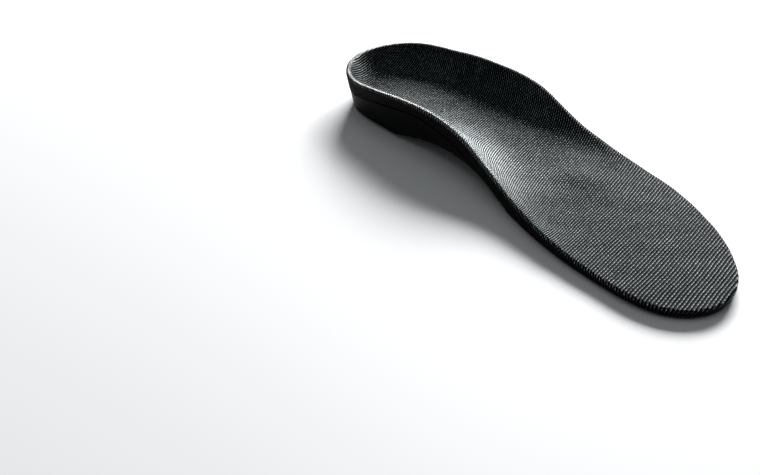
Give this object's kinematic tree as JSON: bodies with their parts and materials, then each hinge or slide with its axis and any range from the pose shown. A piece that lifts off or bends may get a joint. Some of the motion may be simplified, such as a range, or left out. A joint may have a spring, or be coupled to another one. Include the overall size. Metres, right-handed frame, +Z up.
{
  "type": "cushioned insole",
  "caption": "Left-foot cushioned insole with a deep heel cup, raised arch, moulded stabiliser shell and ribbed knit cover that bends at the ball of the foot.",
  "frame": {"origin": "middle of the underside, on the plane the insole lies on", "axes": "+Y from heel to toe, +X to the arch (inner) side, +Z up"},
  "size_m": [0.0846, 0.2704, 0.0264],
  "materials": {
    "cover_knit": "matt ribbed knit",
    "shell_plastic": "satin moulded",
    "foam": "matt closed-cell foam",
    "pad_foam": "matt soft foam",
    "gel": "smooth soft gel",
    "liner_fabric": "matt fine weave"
  },
  "bodies": {
    "rear": {"top_cover": "cover_knit", "stabiliser_shell": "shell_plastic", "rear_foam": "foam", "heel_pad": "gel", "arch_pad": "pad_foam", "metatarsal_pad": "pad_foam", "base_liner": "liner_fabric"},
    "forefoot": {"forefoot_foam": "foam", "forefoot_pad": "pad_foam"}
  },
  "joints": [
    {"name": "ball_flex", "type": "hinge", "parent": "rear", "child": "forefoot", "pos_m": [0.00044, 0.04975, 0.0084], "axis": [0.9483, 0.3173, 0], "range_deg": [0, 45], "stiffness_Nm_per_rad": 0.12, "deforming": ["top_cover", "base_liner"]}
  ]
}
